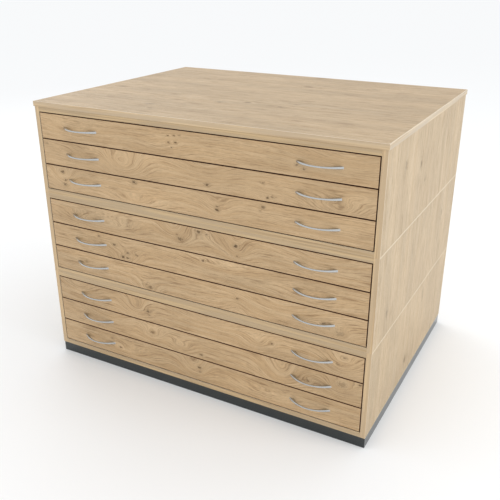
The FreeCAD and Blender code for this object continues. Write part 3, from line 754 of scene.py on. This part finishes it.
def make_oak(node, board):
    """The oak face and edging of one of the frame's boards."""
    oak = bpy.context.scene.cabinet.oak
    material, tree, shader = new_material("oak_" + node, {"IOR": 1.5})
    low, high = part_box(node)
    place, facing = find_place(tree, node, board.turn)
    lift, heart = bend_grain(tree, place, board, oak.rings)
    inputs = {
        "Place": place,
        "Lift": lift,
        "Heart": heart,
        "Seed": board.seed,
        "Rings": oak.rings,
        "Wander": oak.wander,
        "Contrast": board.contrast,
    }
    for name in ("Pale", "Warm", "Ring", "Knot"):
        colour = getattr(oak, name.lower())
        inputs[name] = opaque(part * share for part, share in zip(colour, board.tint))
    figure = use_group(tree, "oak_figure", inputs)
    inputs = {
        "Place": place,
        "Facing": facing,
        "Seed": board.seed,
        "Colour": opaque(board.strips.colour),
        "Arris": opaque(board.strips.arris),
        "Reach": [(high - low)[axis] / 2 for axis in board.turn.order],
        "Thickness": board.strips.thickness,
    }
    edge = use_group(tree, "edge_strip", inputs)
    colour = mix(tree, edge["Strip"], figure["Colour"], edge["Colour"])
    feed(tree, shader.inputs["Base Color"], colour)
    feed(tree, shader.inputs["Roughness"], figure["Roughness"])
    add_bump(tree, shader, figure["Height"], OAK_RELIEF)
    paint(node, material)


def add_fine_grain(tree, place, finish, colour):
    """The colour, roughness and height of a plain finish."""
    inputs = {
        "Place": place,
        "Stretch": finish.stretch,
        "Colour": opaque(colour),
        "Strength": finish.strength,
        "Rough": finish.rough,
        "Spread": finish.spread,
    }
    return use_group(tree, "fine_grain", inputs)


def make_plain(name, colour):
    """A plain laminate, board or metal with its own fine grain."""
    finish = FINISHES[name]
    material, tree, shader = new_material(name, finish.values)
    place = add_node(tree, "ShaderNodeTexCoord").outputs["Object"]
    grain = add_fine_grain(tree, place, finish, colour)
    feed(tree, shader.inputs["Base Color"], grain["Colour"])
    feed(tree, shader.inputs["Roughness"], grain["Roughness"])
    add_bump(tree, shader, grain["Height"], finish.relief)
    return material


def make_back_board(name, colour, first_joint, module_height, joint):
    """Plain fibre board whose panels meet in thin dark joints, one to a module."""
    # How dark a joint is against the board, how much of it is fully dark, and how deep it looks
    # against the board's own relief.
    shade, core, depth = 0.12, 0.3, -8.0
    finish = FINISHES[name]
    material, tree, shader = new_material(name, finish.values)
    place = add_node(tree, "ShaderNodeTexCoord").outputs["Object"]
    grain = add_fine_grain(tree, place, finish, colour)
    above = work_out(tree, "SUBTRACT", split(tree, place)["Z"], first_joint)
    to_joint = work_out(tree, "PINGPONG", above, module_height)
    # Ping-pong is back at nought only at every second joint, so the nearer end counts.
    to_next = work_out(tree, "SUBTRACT", module_height, to_joint)
    seam = fade(tree, work_out(tree, "MINIMUM", to_joint, to_next), joint, core * joint)
    dark = opaque(shade * part for part in colour)
    feed(tree, shader.inputs["Base Color"], mix(tree, seam, grain["Colour"], dark))
    feed(tree, shader.inputs["Roughness"], grain["Roughness"])
    height = work_out(tree, "MULTIPLY_ADD", seam, depth, grain["Height"])
    add_bump(tree, shader, height, finish.relief)
    return material


def paint(node, material):
    """Give one of the frame's nodes its material."""
    for material_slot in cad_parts[node].material_slots:
        material_slot.material = material


def middle_of(node):
    """The centre of a node's box."""
    low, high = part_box(node)
    return (low + high) / 2


# ---------------------------------------------------------------- pieces


def new_piece(name, shape, material, body):
    """A finished piece from a bmesh, in place, riding on a body."""
    mesh = bpy.data.meshes.new(name)
    bmesh.ops.recalc_face_normals(shape, faces=shape.faces)
    shape.to_mesh(mesh)
    shape.free()
    mesh.materials.append(material)
    mesh.shade_smooth()
    mesh.set_sharp_from_angle(angle=CRISP_EDGE)
    piece = bpy.data.objects.new(name, mesh)
    bpy.context.scene.collection.objects.link(piece)
    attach(piece, body)
    return piece


def repeated(shape, places):
    """A shape copied to each of the places, which are matrices. The shape itself is freed."""
    mesh = bpy.data.meshes.new("repeated")
    shape.to_mesh(mesh)
    shape.free()
    together = bmesh.new()
    for place in places:
        before = len(together.verts)
        together.from_mesh(mesh)
        together.verts.ensure_lookup_table()
        bmesh.ops.transform(together, matrix=place, verts=together.verts[before:])
    bpy.data.meshes.remove(mesh)
    return together


def arc_point(share, half_chord, rise):
    """A point on the arc from (-half_chord, 0) over (0, rise) to (half_chord, 0).

    The share goes from -1 at one end to 1 at the other.
    """
    radius = (half_chord**2 + rise**2) / (2 * rise)
    angle = share * math.asin(half_chord / radius)
    return radius * math.sin(angle), rise - radius * (1 - math.cos(angle))


def make_bow(handle):
    """A bow handle along X. Its feet stand on the plane Y = 0 and it curves out towards -Y."""
    # A rod of radius 1 from X = -1 to X = 1 is cut across and then bent into the bow. The roundness
    # goes from 1 for a round section to 0 for a square one.
    sides, cuts, roundness = 24, 48, 0.5
    shape = bmesh.new()
    bmesh.ops.create_cone(shape, cap_ends=True, segments=sides, radius1=1.0, radius2=1.0, depth=2.0)
    along_x = Matrix.Rotation(math.radians(90), 3, "Y")
    bmesh.ops.rotate(shape, verts=shape.verts, matrix=along_x)
    long_edges = [edge for edge in shape.edges if edge.calc_length() > 1.5]
    bmesh.ops.subdivide_edges(shape, edges=long_edges, cuts=cuts)
    for corner in shape.verts:
        share = corner.co.x
        out, up = (math.copysign(abs(part) ** roundness, part) for part in corner.co.yz)
        outer = arc_point(share, handle.length / 2, handle.projection)
        inner = arc_point(share, handle.finger_width / 2, handle.reach)
        x, y = (a + (b - a) * (1 - out) / 2 for a, b in zip(inner, outer))
        height = handle.middle_height + (handle.end_height - handle.middle_height) * share**2
        corner.co = (x, -y, up * height / 2)
    return shape


def corners_of(parts):
    """The corners among a mesh operator's parts."""
    return [part for part in parts if isinstance(part, bmesh.types.BMVert)]


def make_screw(head, head_height, shank, length):
    """A pan-head screw with a cross recess along Z. Its head's underside is at its origin."""
    cells, shank_sides = 5, 12
    dome = 0.35 * head_height
    recess_reach = 0.5
    recess_depth = 0.6 * head_height
    shape = bmesh.new()
    bmesh.ops.create_grid(shape, x_segments=cells, y_segments=cells, size=1.0)
    # The middle cell and its four neighbours make a cross.
    recess = [face for face in shape.faces if face.calc_center_median().length < recess_reach]
    rim = [edge for edge in shape.edges if edge.is_boundary]
    # The square grid is drawn in to a disc.
    for corner in shape.verts:
        x, y, _ = corner.co
        reach = max(abs(x), abs(y))
        scale = reach / math.hypot(x, y) * head / 2
        corner.co = (x * scale, y * scale, head_height - dome * reach**2)
    sunk = bmesh.ops.extrude_face_region(shape, geom=recess)["geom"]
    bmesh.ops.translate(shape, vec=(0.0, 0.0, -recess_depth), verts=corners_of(sunk))
    bmesh.ops.delete(shape, geom=recess, context="FACES")
    skirt = bmesh.ops.extrude_edge_only(shape, edges=rim)["geom"]
    bmesh.ops.scale(shape, vec=(1.0, 1.0, 0.0), verts=corners_of(skirt))
    bmesh.ops.holes_fill(shape, edges=[edge for edge in shape.edges if edge.is_boundary])
    below = Matrix.Translation((0.0, 0.0, -length / 2))
    radius = shank / 2
    bmesh.ops.create_cone(
        shape, cap_ends=True, segments=shank_sides, radius1=radius, radius2=radius, depth=length,
        matrix=below,
    )
    return shape


def make_cage(runner, cage):
    """A ball cage along Y with its two rows of balls.

    Its web is upright on X = 0 and its flanges reach towards +X.
    """
    shape = bmesh.new()
    length = runner.ball_gap * runner.balls
    web = Matrix.Diagonal((CAGE_SHEET, length, 2 * cage.height + CAGE_SHEET, 1.0))
    bmesh.ops.create_cube(shape, size=1.0, matrix=web)
    for side in (-1, 1):
        place = Matrix.Translation((cage.width / 2, 0.0, side * cage.height))
        flange = place @ Matrix.Diagonal((cage.width, length, CAGE_SHEET, 1.0))
        bmesh.ops.create_cube(shape, size=1.0, matrix=flange)
        for number in range(runner.balls):
            y = (number + 0.5) * runner.ball_gap - length / 2
            place = Matrix.Translation((cage.ball_offset, y, side * cage.height))
            bmesh.ops.create_icosphere(shape, subdivisions=2, radius=runner.ball / 2, matrix=place)
    return shape


# ---------------------------------------------------------------- operators


def direction(azimuth, elevation):
    """Unit vector towards a place at the azimuth, from the front towards the right, and elevation."""
    flat = math.cos(elevation)
    return Vector((math.sin(azimuth) * flat, -math.cos(azimuth) * flat, math.sin(elevation)))


class CABINET_OT_effects(bpy.types.Operator):
    """Build the node groups that the finishes share"""

    bl_idname = "cabinet.effects"
    bl_label = "Shared effects"

    def execute(self, context):
        build_loop_group()
        build_knot_group()
        build_oak_group()
        build_edging_group()
        build_dust_group()
        return {"FINISHED"}


class CABINET_OT_carcass(bpy.types.Operator):
    """Face the worktop, sides, top and bottom boards with oak"""

    bl_idname = "cabinet.carcass"
    bl_label = "Carcass boards"

    def execute(self, context):
        oak = context.scene.cabinet.oak
        thickness = oak.edging_thickness
        strips = Strips(oak.worktop_edging, oak.worktop_arris_highlight, thickness)
        worktop = Board(
            ALONG_X_FACE_Z, WORKTOP_SEED, WORKTOP_KNOTS, WORKTOP_LOOPS, WORKTOP_CONTRAST,
            WORKTOP_TINT, strips,
        )
        make_oak("worktop", worktop)
        strips = Strips(oak.edging, oak.side_arris, thickness)
        rails = Strips(oak.rail_edging, oak.side_arris, thickness)
        for number, module in enumerate(MODULES):
            for side, sign in SIDES.items():
                panel = Board(
                    ALONG_Z_FACE_X, SIDE_SEED + number + SIDE_SEED_STEP * sign, SIDE_KNOTS[module],
                    SIDE_LOOPS[module], SIDE_CONTRAST, SIDE_PAINTED_COOL_LIGHT_TINT, strips,
                )
                make_oak(f"{module}_{side}_side", panel)
            seed = SHELF_SEED + number
            shelves = Board(ALONG_X_FACE_Z, seed, (), (), SHELF_CONTRAST, PLAIN_TINT, rails)
            make_oak(f"{module}_boards", shelves)
        return {"FINISHED"}


class CABINET_OT_fronts(bpy.types.Operator):
    """Face each drawer's front with its own piece of oak"""

    bl_idname = "cabinet.fronts"
    bl_label = "Drawer fronts"

    def execute(self, context):
        oak = context.scene.cabinet.oak
        # The fronts' strips and their borders on the faces take that dark colour, the painted shade of
        # the gaps.
        strips = Strips(oak.front_edging, oak.front_edging, oak.front_edging_thickness)
        for module, drawers in MODULE_DRAWERS.items():
            for drawer in drawers:
                front = Board(
                    ALONG_X_FACE_Y, drawer, FRONT_KNOTS[drawer], FRONT_LOOPS[drawer],
                    FRONT_CONTRAST[module], PLAIN_TINT, strips,
                )
                make_oak(f"drawer_{drawer}_front", front)
        return {"FINISHED"}


class CABINET_OT_handles(bpy.types.Operator):
    """Make the bow handles and the screws that hold them"""

    bl_idname = "cabinet.handles"
    bl_label = "Handles"

    def execute(self, context):
        handle = context.scene.cabinet.handle
        steel = make_plain("satin_steel", handle.steel)
        screw_steel = make_plain("screw_steel", handle.screw_steel)
        to_the_back = Matrix.Rotation(math.radians(-90), 4, "X")
        xs = [side * handle.from_middle for side in (-1, 1)]
        for drawer in DRAWERS:
            body = f"drawer_{drawer}"
            node = f"{body}_handles"
            front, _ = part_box(f"{body}_front")
            _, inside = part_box(node)
            z = middle_of(node).z
            feet = [Matrix.Translation((x, front.y, z)) for x in xs]
            shape = repeated(make_bow(handle), feet)
            bows = new_piece(f"{body}_bows", shape, steel, body)
            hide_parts(node)
            screw = make_screw(
                handle.screw_head, handle.screw_head_height, handle.screw_shank, handle.screw_length
            )
            seat = inside.y - handle.screw_head_height
            places = [
                Matrix.Translation((x + end * handle.centres / 2, seat, z)) @ to_the_back
                for x in xs
                for end in (-1, 1)
            ]
            shape = repeated(screw, places)
            screws = new_piece(f"{body}_screws", shape, screw_steel, body)
            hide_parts(node)
        return {"FINISHED"}


class CABINET_OT_runners(bpy.types.Operator):
    """Finish the runners and add their screws and ball cages"""

    bl_idname = "cabinet.runners"
    bl_label = "Runners"

    def execute(self, context):
        runner = context.scene.cabinet.runner
        zinc = make_plain("zinc_plate", runner.zinc)
        ball_steel = make_plain("ball_steel", runner.ball_steel)
        paint("cabinet_runners", zinc)
        for drawer in DRAWERS:
            paint(f"drawer_{drawer}_runners", zinc)
            paint(f"middle_runners_{drawer}", zinc)
            self.add_screws(drawer, runner, ball_steel)
            self.add_cages(drawer, runner, ball_steel)
        return {"FINISHED"}

    def add_screws(self, drawer, runner, steel):
        """The screws that hold the drawer's own members to its sides."""
        body = f"drawer_{drawer}"
        low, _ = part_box(f"{body}_runners")
        z = middle_of(f"{body}_runners").z
        box_low, box_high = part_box(f"{body}_box")
        places = []
        for sign, side in ((-1, box_low.x), (1, box_high.x)):
            outwards = Matrix.Rotation(math.radians(90) * sign, 4, "Y")
            for number in range(runner.screws):
                y = low.y + runner.first_screw + number * runner.screw_gap
                places.append(Matrix.Translation((side + sign * RUNNER_WEB, y, z)) @ outwards)
        screw = make_screw(
            runner.screw_head, runner.screw_head_height, runner.screw_shank, runner.screw_length
        )
        shape = repeated(screw, places)
        new_piece(f"{body}_runner_screws", shape, steel, body)

    def add_cages(self, drawer, runner, steel):
        """The ball cages round the middle members, on the cabinet, and inside the middle members."""
        node = f"middle_runners_{drawer}"
        low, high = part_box(node)
        y = low.y + CAGE_PLACE * runner.ball_gap * runner.balls
        z = middle_of(node).z
        turned = Matrix.Rotation(math.radians(180), 4, "Z")
        bodies = {"outer": "cabinet", "inner": f"runner_{drawer}"}
        for cage in CAGES:
            left = Matrix.Translation((low.x + cage.inset, y, z))
            right = Matrix.Translation((high.x - cage.inset, y, z)) @ turned
            shape = repeated(make_cage(runner, cage), [left, right])
            name = f"{cage.kind}_cages_{drawer}"
            new_piece(name, shape, steel, bodies[cage.kind])


class CABINET_OT_insides(bpy.types.Operator):
    """Finish the drawer boxes, backs, fittings and plinth"""

    bl_idname = "cabinet.insides"
    bl_label = "Boxes, backs, fittings and plinth"

    def execute(self, context):
        insides = context.scene.cabinet.insides
        low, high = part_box("upper_left_side")
        module_height = high.z - low.z
        fibre = make_back_board(
            "fibre_board", insides.fibre, low.z, module_height, insides.back_joint
        )
        paint("back_panels", fibre)
        paint("plinth", make_plain("slate_laminate", insides.slate))
        paint("locating_dowels", make_plain("turned_beech", insides.beech))
        paint("cam_fittings", make_plain("cast_zinc", insides.cast_zinc))
        birch = make_plain("birch_board", insides.birch)
        for drawer in DRAWERS:
            paint(f"drawer_{drawer}_box", birch)
        return {"FINISHED"}


class CABINET_OT_stage(bpy.types.Operator):
    """Lay the floor, hang the lamps and stand the camera"""

    bl_idname = "cabinet.stage"
    bl_label = "Stage"

    def execute(self, context):
        stage = context.scene.cabinet.stage
        self.light_sky(context.scene, stage)
        self.lay_floor(stage)
        for name, (azimuth, elevation) in LAMPS.items():
            back = direction(math.radians(azimuth), math.radians(elevation))
            self.hang_lamp(name, stage, back, getattr(stage, name))
        self.stand_camera(context.scene, stage)
        return {"FINISHED"}

    def light_sky(self, scene, stage):
        """Even white light from all round."""
        world = bpy.data.worlds.new("studio_sky")
        world.use_nodes = True
        sky = world.node_tree.nodes["Background"]
        sky.inputs["Color"].default_value = (1.0, 1.0, 1.0, 1.0)
        sky.inputs["Strength"].default_value = stage.sky
        scene.world = world
        scene.view_settings.view_transform = "Standard"

    def lay_floor(self, stage):
        """A large pale floor."""
        shape = bmesh.new()
        bmesh.ops.create_grid(shape, x_segments=1, y_segments=1, size=stage.floor_size / 2)
        mesh = bpy.data.meshes.new("floor")
        shape.to_mesh(mesh)
        shape.free()
        values = {
            "Base Color": opaque(stage.floor), "Roughness": 0.9, "Specular IOR Level": 0.0
        }
        mesh.materials.append(new_material("pale_floor", values)[0])
        floor = bpy.data.objects.new("floor", mesh)
        bpy.context.scene.collection.objects.link(floor)

    def hang_lamp(self, name, stage, back, power):
        """A round soft lamp that shines on the cabinet's middle, hung along back from there."""
        lamp = bpy.data.objects.new(name, bpy.data.lights.new(name, "AREA"))
        lamp.data.shape = "DISK"
        lamp.data.size = stage.lamp_size
        lamp.data.energy = power
        lamp.visible_camera = False
        lamp.location = Vector(LAMP_AIM) + back * stage.lamp_distance
        lamp.rotation_euler = back.to_track_quat("Z", "Y").to_euler()
        bpy.context.scene.collection.objects.link(lamp)

    def stand_camera(self, scene, stage):
        """The camera looks at a point a little forward and to the right of the cabinet's middle."""
        back = direction(stage.azimuth, stage.elevation)
        camera = bpy.data.objects.new("camera", bpy.data.cameras.new("camera"))
        camera.data.lens = stage.lens
        camera.location = Vector(CAMERA_AIM) + back * stage.distance
        camera.rotation_euler = back.to_track_quat("Z", "Y").to_euler()
        scene.collection.objects.link(camera)
        scene.camera = camera


class CABINET_PT_sidebar(bpy.types.Panel):
    """The cabinet's settings and its operators"""

    bl_idname = "CABINET_PT_sidebar"
    bl_label = "Flat file cabinet"
    bl_space_type = "VIEW_3D"
    bl_region_type = "UI"
    bl_category = "Cabinet"

    def draw(self, context):
        settings = context.scene.cabinet
        parts = (settings.oak, settings.handle, settings.runner, settings.insides, settings.stage)
        for group in parts:
            box = self.layout.box()
            for name in group.__annotations__:
                box.prop(group, name)
        for operator in OPERATORS:
            self.layout.operator(operator.bl_idname)


GROUPS = (
    CABINET_PG_oak,
    CABINET_PG_handle,
    CABINET_PG_runner,
    CABINET_PG_insides,
    CABINET_PG_stage,
    CABINET_PG_settings,
)
OPERATORS = (
    CABINET_OT_effects,
    CABINET_OT_carcass,
    CABINET_OT_fronts,
    CABINET_OT_handles,
    CABINET_OT_runners,
    CABINET_OT_insides,
    CABINET_OT_stage,
)
CLASSES = (*GROUPS, *OPERATORS, CABINET_PT_sidebar)


def register():
    for kind in CLASSES:
        bpy.utils.register_class(kind)
    bpy.types.Scene.cabinet = bpy.props.PointerProperty(type=CABINET_PG_settings)


def unregister():
    del bpy.types.Scene.cabinet
    for kind in reversed(CLASSES):
        bpy.utils.unregister_class(kind)


def main():
    """Build everything."""
    register()
    bpy.ops.cabinet.effects()
    bpy.ops.cabinet.carcass()
    bpy.ops.cabinet.fronts()
    bpy.ops.cabinet.handles()
    bpy.ops.cabinet.runners()
    bpy.ops.cabinet.insides()
    bpy.ops.cabinet.stage()


if __name__ == "__main__":
    main()
